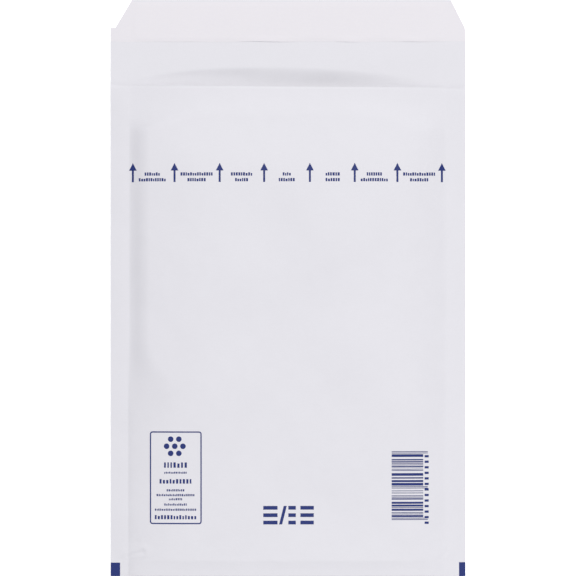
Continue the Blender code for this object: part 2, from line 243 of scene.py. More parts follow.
# %% Waves and creases
def waves(x, y, seed, longest, shortest, count=16):
    """Sum of cosines of random direction and phase, scaled to a mean square of one."""
    rng = np.random.default_rng(seed)
    length = np.geomspace(longest, shortest, count)
    angle = rng.uniform(0, np.pi, count)
    phase = rng.uniform(0, 2 * np.pi, count)
    weight = length / np.sqrt((length**2).sum() / 2)
    place = np.asarray(x)[..., None] * np.cos(angle) + np.asarray(y)[..., None] * np.sin(angle)
    return (weight * np.cos(2 * np.pi * place / length + phase)).sum(-1)


def furrow(x, y, start, end, width):
    """Bell curve of the distance from the line between two points, fading at its ends."""
    start, end = np.array(start), np.array(end)
    run = end - start
    share = ((x - start[0]) * run[0] + (y - start[1]) * run[1]) / (run @ run)
    near = np.clip(share, 0, 1)
    away = np.hypot(x - start[0] - near * run[0], y - start[1] - near * run[1])
    return np.exp(-((away / width) ** 2))


# Creases at the bottom corners by their two ends. Furrows add width and depth, lips width
# and height.
LEFT_PINCH = ((-90 * MM, -151.4 * MM), (-82 * MM, -148.6 * MM))
LEFT_TUCK = ((-89 * MM, -149.5 * MM), (-86 * MM, -143 * MM))
RIGHT_PINCH = ((89.5 * MM, -148 * MM), (86 * MM, -152.5 * MM))
FURROWS = ((LEFT_PINCH, 1.6 * MM, 0.55 * MM), (LEFT_TUCK, 1.8 * MM, 0.4 * MM),
           (RIGHT_PINCH, 1.5 * MM, 0.3 * MM))
LIPS = ((LEFT_PINCH, 1.6 * MM, 0.6 * MM), (RIGHT_PINCH, 1.4 * MM, 0.25 * MM))
LIPS_RUN = 3 * MM
LEAST_ROOM = 0.001 * MM

WAVE_SHARE = 0.04
COCKLE_DEPTH = 0.02 * MM
MARGIN_WAVE = 0.1 * MM
LEFT_DROOP = 0.9 * MM
RIGHT_DROOP = 0.2 * MM
DROOP_RUN = 16 * MM
JAW_PITCH = 2.5 * MM
JAW_DEPTH = 0.02 * MM
GROOVE_DEPTH = 0.16 * MM
GROOVE_WIDTH = 1.3 * MM
GROOVE_REACH = 24 * MM


def slow_waves(x, y):
    """Waves a few centimetres long, as deep as the padding under them gives way."""
    depth = WAVE_SHARE * (gape(x, y) + bubble_depth(x, y))
    return depth * waves(x, y, 11, 120 * MM, 42 * MM)


def creases(x, y, spread):
    """Furrows at the bottom corners; spread widens them. Depth and free height are joined as
    a b / (a + b), so a furrow is never deeper than the room under it."""
    depth = sum(deep * furrow(x, y, *ends, width * spread) for ends, width, deep in FURROWS)
    room = gape(x, y)
    return depth * room / (depth + room + LEAST_ROOM)


def crease_lips(x, y):
    """Paper pushed up along both sides of a pinch: a bell curve less one half as wide."""
    lips = sum(high * (furrow(x, y, *ends, 2 * width) - furrow(x, y, *ends, width))
               for ends, width, high in LIPS)
    return lips * ease((y - Y_BASE) / LIPS_RUN)


def fine_relief(x, y):
    """What only the paper shows: small cockles, the creases and their lips."""
    cockle = COCKLE_DEPTH * waves(x, y, 12, 22 * MM, 7 * MM)
    return (0.3 + 0.7 * fill(x, y)) * cockle + crease_lips(x, y) - creases(x, y, 1.0)


def margin_relief(x, y):
    """Sealed margins: they sag a little outwards, and the sealing jaws leave shallow lines."""
    outside = np.clip((np.abs(x) - X_SEAM) / SIDE_SEAM, 0, 1)
    droop = np.where(x < 0, LEFT_DROOP, RIGHT_DROOP) * ease((Y_MOUTH - y) / DROOP_RUN)
    sag = droop * outside**1.15 + MARGIN_WAVE * waves(y, x * 0, 13, 90 * MM, 30 * MM) * outside
    lines = JAW_DEPTH * np.cos(2 * np.pi * np.abs(x) / JAW_PITCH) * ease(outside * 6)
    return lines - sag


def mouth_groove(x, y):
    """Shallow groove that the printed panel's edge presses into the sheet at both seams."""
    at_seams = 1 - ease((X_EDGE - np.abs(x)) / GROOVE_REACH)
    away = y - Y_MOUTH + LIP_TILT * x / X_EDGE
    return GROOVE_DEPTH * at_seams * np.exp(-((away / GROOVE_WIDTH) ** 2))


print("furrows:", len(FURROWS), "lips:", len(LIPS))

# %% [markdown]
# ## Heights of every layer
#
# From the floor up lie the address panel, the lower film with its bubbles, the pocket, the
# upper film and the printed panel. The lower layers follow the dip near the mouth. The
# printed panel's top is the sum of all of them, and the two films keep close to their
# paper, so nothing runs through its neighbour. The last line tests that.

# %% Heights of the layers
SINK_RUN = 20 * MM
RIPPLE = 0.13 * MM
LIP_TURN = 0.25 * MM
LIP_TURN_RUN = 1.5 * MM


def low_side(x, y):
    """Underside of the address panel, from the bottom to the mouth."""
    inside = ease((Y_MOUTH - y) / SINK_RUN)
    sunk = mix(dip_share(x), fill(x, y), inside)
    return (SEAM_HEIGHT + margin_relief(x, y) - mouth_groove(x, y)) * (1 - sunk)


def flap_side(x, y):
    """Underside of the open flap, which droops from the mouth to its tip."""
    past = np.clip((y - Y_MOUTH) / FLAP_LENGTH, 0, 1)
    level = mix(SEAM_HEIGHT, FLAP_TIP_HEIGHT, past**2) - mouth_groove(x, y)
    ripple = RIPPLE * waves(x, y, 14, 80 * MM, 25 * MM) * ease(past * 4) * (1 - 0.6 * past)
    drift = margin_relief(x, np.full_like(y, Y_MOUTH)) * (1 - ease(past * 3))
    return (level + drift) * (1 - sunk_flap(x, y)) + ripple


def smooth_top(x, y):
    """Smooth top of the printed panel: paper, films, bubbles, free height and waves, added up."""
    stack = 2 * (PAPER + FILM) + 4 * AIR
    padding = 2 * bubble_depth(x, y) + gape(x, y) + seam_step(x, y)
    return low_side(x, y) + stack + padding + slow_waves(x, y)


def top_side(x, y):
    """Top of the printed panel above its bottom margin, with its lip turned down at the mouth."""
    lip = LIP_TURN * (0.1 + 0.9 * fill(x, y)) * ease((y - Y_MOUTH + LIP_TURN_RUN) / LIP_TURN_RUN)
    return smooth_top(x, y) + fine_relief(x, y) - lip


def fold_centre(x):
    """Middle height and half height of the envelope at its bottom fold."""
    base = np.full_like(x, Y_BASE)
    low, top = low_side(x, base), smooth_top(x, base) - MARGIN_DROP * fill(x, base)
    return (low + top) / 2, (top - low) / 2


def panel_top(x, y):
    """Top of the printed panel everywhere. In the margin it sinks along a parabola, and the
    fold is an ellipse with powers of four: 1 = (depth share)^4 + (height share)^4."""
    middle, half = fold_centre(x)
    depth = np.minimum(half, FOLD_DEPTH)
    away = np.clip(1 - (y - Y_BOTTOM) / depth, 0, 1)
    drop = MARGIN_DROP * fill(x, np.full_like(y, Y_BASE))
    left_over = drop * (1 - bulge((Y_BASE - y) / BOTTOM_MARGIN))
    margin = middle + half * (1 - away**4) ** 0.25 + left_over
    return np.where(y < Y_BASE, margin, top_side(x, np.maximum(y, Y_BASE)))


def upper_film(x, y):
    """Outer face of the upper film: close under the paper, and clear of its creases."""
    clear = PAPER + 2 * AIR + creases(x, y, 2.2)
    return np.where(y < Y_BASE, panel_top(x, y), smooth_top(x, np.maximum(y, Y_BASE))) - clear


gx, gy = np.meshgrid(np.linspace(-X_SEAM, X_SEAM, 61), np.linspace(Y_BASE, Y_MOUTH, 91))
free = upper_film(gx, gy) - low_side(gx, gy) - PAPER - AIR - 2 * FILM - 2 * bubble_depth(gx, gy)
print("least free height between the films, mm:", round(float(free.min()) / MM, 3))

# %% [markdown]
# ## From arrays to closed sheets
#
# Paper, film, strip and ink are all thin sheets. Each starts as a grid of points on its
# outer face. The inner face is the same grid moved along the normals, and a band closes the
# rim, so the piece is a solid like the real sheet.

# %% Helpers that build meshes
def grid_faces(index):
    """Four-cornered faces of a grid of vertex numbers; extra leading axes are more grids."""
    corners = index[..., :-1, :-1], index[..., :-1, 1:], index[..., 1:, 1:], index[..., 1:, :-1]
    return np.stack(corners, axis=-1).reshape(-1, 4)


def grid_normals(points):
    """Unit normals: cross product of the steps along the columns and along the rows."""
    across = np.gradient(points, axis=-2)
    along = np.gradient(points, axis=-3)
    normal = np.cross(across, along)
    return normal / np.linalg.norm(normal, axis=-1, keepdims=True)


def make_piece(name, points, faces, material, slot, sharp=35):
    """Mesh object from whole arrays, smooth except at edges sharper than the given angle."""
    points = np.asarray(points, np.float32).reshape(-1, 3)
    faces = np.asarray(faces, np.int32)
    mesh = bpy.data.meshes.new(name)
    mesh.vertices.add(len(points))
    mesh.vertices.foreach_set("co", points.ravel())
    mesh.loops.add(faces.size)
    mesh.polygons.add(len(faces))
    mesh.polygons.foreach_set("loop_start", np.arange(0, faces.size, faces.shape[1], dtype=np.int32))
    mesh.polygons.foreach_set("vertices", faces.ravel())
    mesh.update(calc_edges=True)
    mesh.validate()
    mesh.shade_smooth()
    mesh.set_sharp_from_angle(angle=math.radians(sharp))
    mesh.materials.append(material)
    piece = bpy.data.objects.new(name, mesh)
    bpy.context.scene.collection.objects.link(piece)
    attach(piece, "root")
    print(name, "has", len(points), "points and", len(faces), "faces")
    return piece


def around(grid):
    """The numbers on the rim of a grid, once round."""
    sides = grid[..., 0, :], grid[..., 1:, -1], grid[..., -1, -2::-1], grid[..., -2::-1, 0]
    return np.concatenate(sides, axis=-1)


def closed_sheet(outer, thickness):
    """Points and faces of a sheet: outer grid, inner grid along the normals, and the rim."""
    inner = outer - grid_normals(outer) * thickness
    front = np.arange(outer[..., 0].size).reshape(outer.shape[:-1])
    back = front + front.size
    rim_faces = grid_faces(np.stack([around(back), around(front)], axis=-2))
    faces = np.concatenate([grid_faces(front), grid_faces(back[..., ::-1]), rim_faces])
    return np.concatenate([outer.reshape(-1, 3), inner.reshape(-1, 3)]), faces


print("once round a grid of three by three:", around(np.arange(9).reshape(3, 3)))

# %% [markdown]
# ## Materials
#
# White kraft paper is matt with a faint sheen, slightly lilac, and built of fibres that lie
# mostly along the web. The strip is the same stuff with a silicone finish, so both use one
# node group for the fibres, with their own values. It gives a mask for the colour, one for
# the roughness and a height for the bump, all in the object's own coordinates, so the
# pattern stays on the sheet.

# %% Node group for paper fibres
def link(tree, source, target):
    """Lead from an output to an input."""
    tree.links.new(source, target)


def noise(tree, vector, scale, detail, roughness=0.5):
    """Noise texture on a vector; scale is in features per metre."""
    node = tree.nodes.new("ShaderNodeTexNoise")
    node.inputs["Scale"].default_value = scale
    node.inputs["Detail"].default_value = detail
    node.inputs["Roughness"].default_value = roughness
    link(tree, vector, node.inputs["Vector"])
    return node.outputs["Fac"]


def math_node(tree, operation, first, second):
    """Math node on two sockets or numbers."""
    node = tree.nodes.new("ShaderNodeMath")
    node.operation = operation
    for socket, value in zip(node.inputs, (first, second)):
        if isinstance(value, (int, float)):
            socket.default_value = value
        else:
            link(tree, value, socket)
    return node.outputs[0]


def weighted(tree, first, first_weight, second, second_weight):
    """Sum of two values, each times its weight."""
    return math_node(tree, "ADD", math_node(tree, "MULTIPLY", first, first_weight),
                     math_node(tree, "MULTIPLY", second, second_weight))


def stretched(tree, vector, scale):
    """The vector scaled differently along each axis."""
    node = tree.nodes.new("ShaderNodeMapping")
    node.vector_type = "POINT"
    node.inputs["Scale"].default_value = scale
    link(tree, vector, node.inputs["Vector"])
    return node.outputs["Vector"]


fibres = bpy.data.node_groups.new("paper_fibres", "ShaderNodeTree")
fibres.interface.new_socket("Place", in_out="INPUT", socket_type="NodeSocketVector")
for socket in ("Cloud", "Fibre"):
    fibres.interface.new_socket(socket, in_out="INPUT", socket_type="NodeSocketFloat")
for socket in ("Tone", "Sheen", "Relief"):
    fibres.interface.new_socket(socket, in_out="OUTPUT", socket_type="NodeSocketFloat")
inside = fibres.nodes.new("NodeGroupInput")
outside = fibres.nodes.new("NodeGroupOutput")
clouds = noise(fibres, inside.outputs["Place"], 55, 5, 0.6)
lying = noise(fibres, stretched(fibres, inside.outputs["Place"], (0.35, 1.6, 1.0)), 900, 3)
crossing = noise(fibres, stretched(fibres, inside.outputs["Place"], (1.5, 0.5, 1.0)), 1300, 2)
grain = noise(fibres, inside.outputs["Place"], 2600, 2)
threads = weighted(fibres, lying, 0.5, crossing, 0.5)
tone = weighted(fibres, clouds, inside.outputs["Cloud"], threads, inside.outputs["Fibre"])
sheen = weighted(fibres, clouds, 0.5, threads, 0.5)
relief = weighted(fibres, threads, 0.7, grain, 0.3)
for value, socket in ((tone, "Tone"), (sheen, "Sheen"), (relief, "Relief")):
    link(fibres, value, outside.inputs[socket])
print("paper_fibres has", len(fibres.nodes), "nodes")

# %% [markdown]
# Each finish has its own material. Colours are written in sRGB, as a printer would read
# them off the sheet, and turned into linear light once. A mask blends two close colours.

# %% Helpers for materials
def linear(red, green, blue):
    """Linear light of an sRGB colour given from 0 to 255, with full opacity."""
    share = np.array([red, green, blue]) / 255
    light = np.where(share <= 0.04045, share / 12.92, ((share + 0.055) / 1.055) ** 2.4)
    return (*light.tolist(), 1.0)


def new_material(name, roughness, colour=None):
    """Material with a Principled shader, its tree, its shader and the object's coordinates."""
    material = bpy.data.materials.new(name)
    material.use_nodes = True
    tree = material.node_tree
    shader = tree.nodes["Principled BSDF"]
    shader.inputs["Roughness"].default_value = roughness
    if colour:
        shader.inputs["Base Color"].default_value = colour
    place = tree.nodes.new("ShaderNodeTexCoord").outputs["Object"]
    return material, tree, shader, place


def blend_colours(tree, share, first, second):
    """Colour between two colours by a mask."""
    node = tree.nodes.new("ShaderNodeMix")
    node.data_type = "RGBA"
    node.inputs[6].default_value = first
    node.inputs[7].default_value = second
    link(tree, share, node.inputs[0])
    return node.outputs[2]


def remap(tree, value, low, high, out_low, out_high):
    """Straight map from one range to another, clamped."""
    node = tree.nodes.new("ShaderNodeMapRange")
    for socket, number in zip(node.inputs[1:5], (low, high, out_low, out_high)):
        socket.default_value = number
    link(tree, value, node.inputs[0])
    return node.outputs[0]


def add_bump(tree, shader, height, distance, strength):
    """Bump from a height, in metres, into the shader's normal."""
    node = tree.nodes.new("ShaderNodeBump")
    node.inputs["Distance"].default_value = distance
    node.inputs["Strength"].default_value = strength
    link(tree, height, node.inputs["Height"])
    link(tree, node.outputs["Normal"], shader.inputs["Normal"])


def tint(tree, shader, mask, dark, light):
    """Base colour between two close ones by a mask."""
    link(tree, blend_colours(tree, mask, dark, light), shader.inputs["Base Color"])


def roughen(tree, shader, mask, low, high):
    """Roughness between two values by a mask, whose middle range is stretched."""
    link(tree, remap(tree, mask, 0.3, 0.7, low, high), shader.inputs["Roughness"])


def paper_material(name, dark, light, cloud, fibre, rough_low, rough_high, relief):
    """Paper of one kind: two close colours, shares of clouds and fibres, sheen and relief."""
    material, tree, shader, place = new_material(name, rough_low)
    group = tree.nodes.new("ShaderNodeGroup")
    group.node_tree = fibres
    group.inputs["Cloud"].default_value = cloud
    group.inputs["Fibre"].default_value = fibre
    link(tree, place, group.inputs["Place"])
    tint(tree, shader, remap(tree, group.outputs["Tone"], 0.3, 0.7, 0.0, 1.0), dark, light)
    roughen(tree, shader, group.outputs["Sheen"], rough_low, rough_high)
    add_bump(tree, shader, group.outputs["Relief"], relief, 0.6)
    return material


WHITE_KRAFT = paper_material("white_kraft_paper", linear(227, 226, 232), linear(232, 231, 237),
                             0.6, 0.4, 0.55, 0.72, 0.05 * MM)
SILICONED = paper_material("siliconed_strip_paper", linear(230, 227, 233), linear(235, 232, 237),
                           0.5, 0.5, 0.55, 0.66, 0.02 * MM)
print("papers:", WHITE_KRAFT.name, SILICONED.name)

# %% Ink, film and adhesive
INK, ink_tree, ink_shader, ink_place = new_material("dark_blue_ink", 0.5)
mottle = noise(ink_tree, ink_place, 1500, 3, 0.7)
ink_share = remap(ink_tree, mottle, 0.35, 0.75, 0.0, 1.0)
tint(ink_tree, ink_shader, ink_share, linear(36, 49, 108), linear(50, 62, 126))
roughen(ink_tree, ink_shader, mottle, 0.42, 0.6)
ink_shader.inputs["Specular IOR Level"].default_value = 0.15
add_bump(ink_tree, ink_shader, mottle, 0.01 * MM, 0.4)

CLEAR_FILM, film_tree, film_shader, film_place = new_material("clear_bubble_film", 0.14)
haze = noise(film_tree, film_place, 260, 4, 0.6)
tint(film_tree, film_shader, haze, linear(240, 244, 248), linear(250, 251, 252))
roughen(film_tree, film_shader, haze, 0.1, 0.22)
link(film_tree, remap(film_tree, haze, 0.3, 0.7, 0.55, 0.75), film_shader.inputs["Alpha"])
add_bump(film_tree, film_shader, noise(film_tree, film_place, 700, 2), 0.08 * MM, 0.5)

ADHESIVE, glue_tree, glue_shader, glue_place = new_material("hot_melt_adhesive", 0.3)
flow = noise(glue_tree, stretched(glue_tree, glue_place, (0.2, 1.0, 1.0)), 700, 3)
tint(glue_tree, glue_shader, flow, linear(214, 205, 176), linear(233, 226, 203))
roughen(glue_tree, glue_shader, flow, 0.22, 0.4)
add_bump(glue_tree, glue_shader, flow, 0.08 * MM, 0.5)
print("inks, films and glues:", INK.name, CLEAR_FILM.name, ADHESIVE.name)

# %% [markdown]
# ## The folded sheet of paper
#
# One grid runs from the flap's tip through the dip, under the pocket, round the bottom fold
# and up to the printed panel's edge at the mouth. Its columns stand closer together at the
# seams and shoulders, and its rows at the dip, the crease and the lip. The flap's corners
# are cut by moving the outer columns inwards, more for each row.

# %% Columns and rows of the sheet
# Cut corners of the flap: run, depth and step.
LEFT_CUT = (9.3 * MM, 15.8 * MM, 2.7 * MM)
RIGHT_CUT = (8.2 * MM, 16.6 * MM, 0.0)
CUT_REACH = 30 * MM
STEP_ROW = 0.15 * MM

# Columns stand closer beyond this distance from the middle.
DENSE_FROM = 70 * MM


def spaced(start, *stretches):
    """Places along a line: each stretch gives its end and its number of steps."""
    places = [np.array([start])]
    for end, steps in stretches:
        places.append(np.linspace(places[-1][-1], end, steps + 1)[1:])
    return np.concatenate(places)


def corner_inset(y, cut):
    """How far a cut corner lies inside the sheet's edge, for its run, its depth and its step."""
    run, depth, step = cut
    start = Y_TIP - depth
    stepped = np.clip((y - start + STEP_ROW) / STEP_ROW, 0, 1) if step else 0
    return step * stepped + run * np.clip((y - start) / depth, 0, 1)


def trimmed(x, y):
    """Columns moved inwards near the flap's cut corners."""
    left = corner_inset(y, LEFT_CUT) * np.clip(1 - (x + X_EDGE) / CUT_REACH, 0, 1)
    right = corner_inset(y, RIGHT_CUT) * np.clip(1 - (X_EDGE - x) / CUT_REACH, 0, 1)
    return x + left - right


half_columns = spaced(0, (DENSE_FROM, 38), (X_SEAM - MM, 22), (X_SEAM + MM, 4), (X_EDGE, 8))
columns = np.concatenate([-half_columns[:0:-1], half_columns])
cut_row = Y_TIP - LEFT_CUT[1]
flap_rows = spaced(Y_TIP, (cut_row, 9), (cut_row - STEP_ROW, 1), (Y_MOUTH + 12 * MM, 12),
                   (Y_MOUTH, 26))
low_rows = spaced(Y_MOUTH, (Y_MOUTH - SINK_RUN, 8), (Y_BASE, 46))[1:]
top_rows = spaced(Y_BASE, (Y_BASE + 13 * MM, 26), (Y_MOUTH - LIP_RUN, 120),
                  (Y_MOUTH - LIP_TURN_RUN, 12), (Y_MOUTH, 6))
print(len(columns), "columns and", len(flap_rows) + len(low_rows) + len(top_rows), "rows")

# %% [markdown]
# The bottom fold was pressed, so it is shallow and almost square: an ellipse with powers of
# four instead of two, as high as the envelope is thick there and less than a millimetre
# deep. The film's fold is the same curve, set in by the paper.

# %% Grids of the sheet
LEAST_FOLD = 0.02 * MM


def fold_grid(x, inset, steps):
    """Square ellipse from the lower panel to the upper one: square roots of the cosine and
    the sine of an angle, one row for each angle."""
    middle, half = fold_centre(x)
    depth = np.minimum(half, FOLD_DEPTH)
    turn = np.linspace(-np.pi / 2, np.pi / 2, steps + 1)[:, None]
    reach = np.maximum(depth - inset, LEAST_FOLD)
    y = Y_BOTTOM + depth - reach * np.sqrt(np.cos(turn).clip(0))
    z = middle + (half - inset) * np.sign(turn) * np.sqrt(np.abs(np.sin(turn)))
    return np.stack([np.broadcast_to(x, z.shape), y, z], axis=-1)


def surface(x, y, height):
    """Grid of points for the columns x and the rows y under a height function."""
    across, along = np.meshgrid(x, y)
    return np.stack([across, along, height(across, along)], axis=-1)


def flap_grid(x, y, lift=0.0):
    """Grid on the flap, with its corners trimmed."""
    across, along = np.meshgrid(x, y)
    across = trimmed(across, along)
    return np.stack([across, along, flap_side(across, along) + lift], axis=-1)


def printed_grid(x, y):
    """Grid on the printed panel; its edge at the mouth runs slightly askew, as it was cut."""
    across, along = np.meshgrid(x, y)
    askew = -LIP_TILT * across / X_EDGE * ease((along - Y_MOUTH + LIP_RUN) / LIP_RUN)
    return np.stack([across, along + askew, top_side(across, along)], axis=-1)


margin_rows = np.linspace(Y_BOTTOM + FOLD_DEPTH, Y_BASE, 12)[1:-1]
paper_grid = np.concatenate([
    flap_grid(columns, flap_rows),
    surface(columns, low_rows, low_side),
    fold_grid(columns, 0, 20),
    surface(columns, margin_rows, panel_top),
    printed_grid(columns, top_rows),
])
paper_sheet = make_piece("paper_sheet", *closed_sheet(paper_grid, PAPER), WHITE_KRAFT, "white_paper")
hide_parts("paper_envelope")

# %% [markdown]
# ## The bubble film
#
# The lining is one web of film, folded inside the paper, with rows of round bubbles on its
# inner side. A height field would need millions of points for the steep walls of the
# bubbles. Instead the flat web is one sheet, and every bubble is a small closed dome of a
# few dozen faces, placed on a hexagonal pattern as one big array.

# %% Flat web of the lining
WEB_EDGE = X_EDGE - 0.3 * MM
web_columns = spaced(-WEB_EDGE, (-DENSE_FROM, 22), (DENSE_FROM, 50), (WEB_EDGE, 22))
web_rows = spaced(Y_MOUTH - LINING_RECESS, (Y_MOUTH - SINK_RUN, 8), (Y_BASE + 2 * MM, 80),
                  (Y_BASE, 2))
web_grid = np.concatenate([
    surface(web_columns, web_rows, lambda x, y: low_side(x, y) + PAPER + AIR),
    fold_grid(web_columns, PAPER + AIR, 12),
    surface(web_columns, margin_rows, upper_film),
    surface(web_columns, web_rows[::-1], upper_film),
])
film_web = make_piece("film_web", *closed_sheet(web_grid, FILM), CLEAR_FILM, "bubble_film")
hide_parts("bubble_lining")

# %% Bubbles on the web
BUBBLE_RADIUS = 5 * MM
PITCH = 11.4 * MM
SEAM_CLEARANCE = 1 * MM
SEGMENTS = 10
RING_ANGLES = np.radians([0, 27, 57])


def bubble_centres(shift):
    """Hexagonal pattern inside the seams, every second row moved by half a pitch."""
    first = Y_BASE + BUBBLE_RADIUS + SEAM_CLEARANCE
    last = Y_MOUTH - LINING_RECESS - BUBBLE_RADIUS
    rows = np.arange(first, last, PITCH * math.sin(math.pi / 3))
    count = int(X_SEAM / PITCH) + 1
    x = np.arange(-count, count + 1) * PITCH + shift
    centre_x = x[None, :] + (np.arange(len(rows)) % 2)[:, None] * PITCH / 2
    centre_y = np.broadcast_to(rows[:, None], centre_x.shape)
    kept = np.abs(centre_x) < X_SEAM - BUBBLE_RADIUS - SEAM_CLEARANCE
    return centre_x[kept], centre_y[kept]


def bubble_domes(centre_x, centre_y, height, side, seed):
    """Domes whose radius falls as cos^0.5 and whose height grows as sin^0.7 of one angle."""
    rng = np.random.default_rng(seed)
    size = 1 - 0.08 * rng.random(len(centre_x))
    turn = np.arange(SEGMENTS) * 2 * np.pi / SEGMENTS
    radius = BUBBLE_RADIUS * np.cos(RING_ANGLES) ** 0.5
    x = centre_x[:, None] + np.append(np.outer(radius, np.cos(turn)), 0)
    y = centre_y[:, None] + np.append(np.outer(radius, np.sin(turn)), 0)
    rise = np.append(np.repeat(np.sin(RING_ANGLES) ** 0.7, SEGMENTS), 1.0)
    z = height(x, y) + side * bubble_depth(x, y) * rise * size[:, None]
    return np.stack([x, y, z], axis=-1)


def dome_faces(count, turned):
    """Triangles of each dome: rings, cap and base, the same for all of them, and turned round
    for domes that hang."""
    rings = np.arange(len(RING_ANGLES) * SEGMENTS).reshape(-1, SEGMENTS)
    closed = np.column_stack([rings, rings[:, 0]])
    wall = grid_faces(closed)
    wall = np.concatenate([wall[:, [0, 1, 2]], wall[:, [0, 2, 3]]])
    top = closed[-1]
    cap = np.column_stack([top[:-1], top[1:], np.full(SEGMENTS, rings.size)])
    fan = np.column_stack([np.zeros(SEGMENTS - 2, int), rings[0, 2:], rings[0, 1:-1]])
    faces = np.concatenate([wall, cap, fan])
    faces = faces[:, ::-1] if turned else faces
    return (faces[None] + np.arange(count)[:, None, None] * (rings.size + 1)).reshape(-1, 3)


# Both layers: name, shift of the pattern, height of its base, way up or down, and seed.
LAYERS = (("film_bubbles_low", 0.0, lambda x, y: low_side(x, y) + PAPER + AIR + FILM, 1, 21),
          ("film_bubbles_top", PITCH / 2, lambda x, y: upper_film(x, y) - FILM, -1, 22))
for name, shift, height, way, seed in LAYERS:
    domes = bubble_domes(*bubble_centres(shift), height, way, seed)
    make_piece(name, domes, dome_faces(len(domes), way < 0), CLEAR_FILM, "bubble_film", sharp=80)

# %% [markdown]
# ## The adhesive
#
# Hot melt is laid on the flap by a nozzle with a row of small holes, so the band has fine
# ribs from side to side. A cosine gives the ribs, and the band thins out at its edges.

# %% Band of adhesive
STRIP_WIDTH = 22.6 * MM
STRIP_MARGIN = 1.1 * MM
GLUE_WIDTH = 17 * MM
GLUE_END = 15 * MM
GLUE_HEIGHT = 0.14 * MM
GLUE_RIM = 1 * MM
GLUE_SHEET = 0.03 * MM
RIB_PITCH = 2.83 * MM
CONTACT = 0.01 * MM
strip_high = Y_TIP - STRIP_MARGIN
strip_low = strip_high - STRIP_WIDTH
glue_middle = (strip_high + strip_low) / 2


def glue_height(x, y):
    """Top of the ribbed band: a cosine with one rib for each pitch, thin at the rim."""
    ribs = 0.82 + 0.18 * np.cos(2 * np.pi * (y - glue_middle) / RIB_PITCH)
    rim = np.minimum(GLUE_WIDTH / 2 - np.abs(y - glue_middle), X_EDGE - GLUE_END - np.abs(x))
    height = GLUE_HEIGHT * ribs * mix(0.25, 1, bulge(rim / GLUE_RIM))
    return flap_side(x, y) + PAPER + CONTACT + height


glue_rows = np.linspace(glue_middle - GLUE_WIDTH / 2, glue_middle + GLUE_WIDTH / 2, 61)
glue_columns = np.linspace(GLUE_END - X_EDGE, X_EDGE - GLUE_END, 81)
glue_grid = surface(glue_columns, glue_rows, glue_height)
glue_band = make_piece("glue_band", *closed_sheet(glue_grid, GLUE_SHEET), ADHESIVE, "hot_melt")
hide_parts("adhesive_strip")

# %% [markdown]
# ## The peel-off strip
#
# Siliconed paper covers the adhesive and runs over the whole width, so it shares the cut
# corners. It lies on the adhesive and comes down to the flap at its edges. Its lower edge
# has sprung up in a few places, which draws a thin shadow under it. A bell curve for each
# place lifts the last millimetres.

# %% Strip over the adhesive
STRIP_PAPER = 0.08 * MM
STRIP_FALL = 2.6 * MM
END_FALL = 4 * MM
SPRUNG_RUN = 4 * MM
EDGE_WAVE = 0.12 * MM

# Places where the edge has sprung up: middle, reach and height.
LIFTS = np.array([(-12, 14, 0.32), (34, 6, 0.3), (71, 9, 0.3), (-62, 20, 0.1)]) * MM


def strip_lift(x, share):
    """Height over the flap: adhesive in the middle, bare paper at the edges, and sprung places."""
    edge = np.minimum(share, 1 - share) * STRIP_WIDTH
    end = X_EDGE - GLUE_END + END_FALL - np.abs(x)
    glue = ease(edge / STRIP_FALL) * ease(end / END_FALL)
    rise = CONTACT + STRIP_PAPER + (GLUE_HEIGHT + 2 * CONTACT) * glue
    near_edge = 1 - ease(share * STRIP_WIDTH / SPRUNG_RUN)
    for middle, reach, height in LIFTS:
        rise = rise + height * np.exp(-(((x - middle) / reach) ** 2)) * near_edge
    return rise


strip_rows = spaced(strip_high, (strip_high - 3 * MM, 5), (cut_row, 9), (cut_row - STEP_ROW, 1),
                    (strip_low + 4 * MM, 2), (strip_low, 8))
strip_grid = flap_grid(columns, strip_rows, PAPER)
share = ((strip_rows - strip_low) / STRIP_WIDTH)[:, None]
strip_grid[..., 2] += strip_lift(strip_grid[..., 0], share)
edge_wave = EDGE_WAVE * waves(strip_grid[..., 0], 0 * share, 31, 60 * MM, 20 * MM)
strip_grid[..., 1] += edge_wave * (1 - share)
strip_sheet = closed_sheet(strip_grid[::-1], STRIP_PAPER)
release_strip = make_piece("release_strip", *strip_sheet, SILICONED, "release_paper")
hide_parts("release_liner")

# %% [markdown]
# ## The print
#
# Every printed shape is a small grid laid on the paper: the place of its points comes from
# the shape, their height from the printed panel. A bar is a rectangle, an arrow a strip of
# changing width, a dot a square grid bent into a disc, and a frame a strip that runs round.
# They are thin closed solids of ink, a few hundredths of a millimetre above the paper.

# %% Helpers that lay ink on the panel
INK_LIFT = 0.07 * MM
INK_THICKNESS = 0.03 * MM


def from_left(distance):
    """Place across the envelope, from millimetres off its left edge."""
    return -X_EDGE + distance * MM


def from_bottom(distance):
    """Place along the envelope, from millimetres off its bottom fold."""
    return Y_BOTTOM + distance * MM


def lay_ink(x, y):
    """Closed thin solids for grids of places: lifted tops, and bottoms just above the paper."""
    outer = np.stack([x, y, panel_top(x, y) + INK_LIFT], axis=-1)
    return closed_sheet(outer, INK_THICKNESS)


def join(*parts):
    """One set of points and faces from several."""
    points, faces = zip(*parts)
    starts = np.cumsum([0] + [len(part) for part in points[:-1]])
    return np.concatenate(points), np.concatenate([f + start for f, start in zip(faces, starts)])


def bars(left, bottom, width, height, across=2, along=2):
    """Rectangles as grids, one for each entry of the arrays; a single number goes for all."""
    sides = np.broadcast_arrays(*np.atleast_1d(left, bottom, width, height))
    left, bottom, width, height = (side[:, None, None] for side in sides)
    u, v = np.meshgrid(np.linspace(0, 1, across), np.linspace(0, 1, along))
    return lay_ink(left + width * u, bottom + height * v)


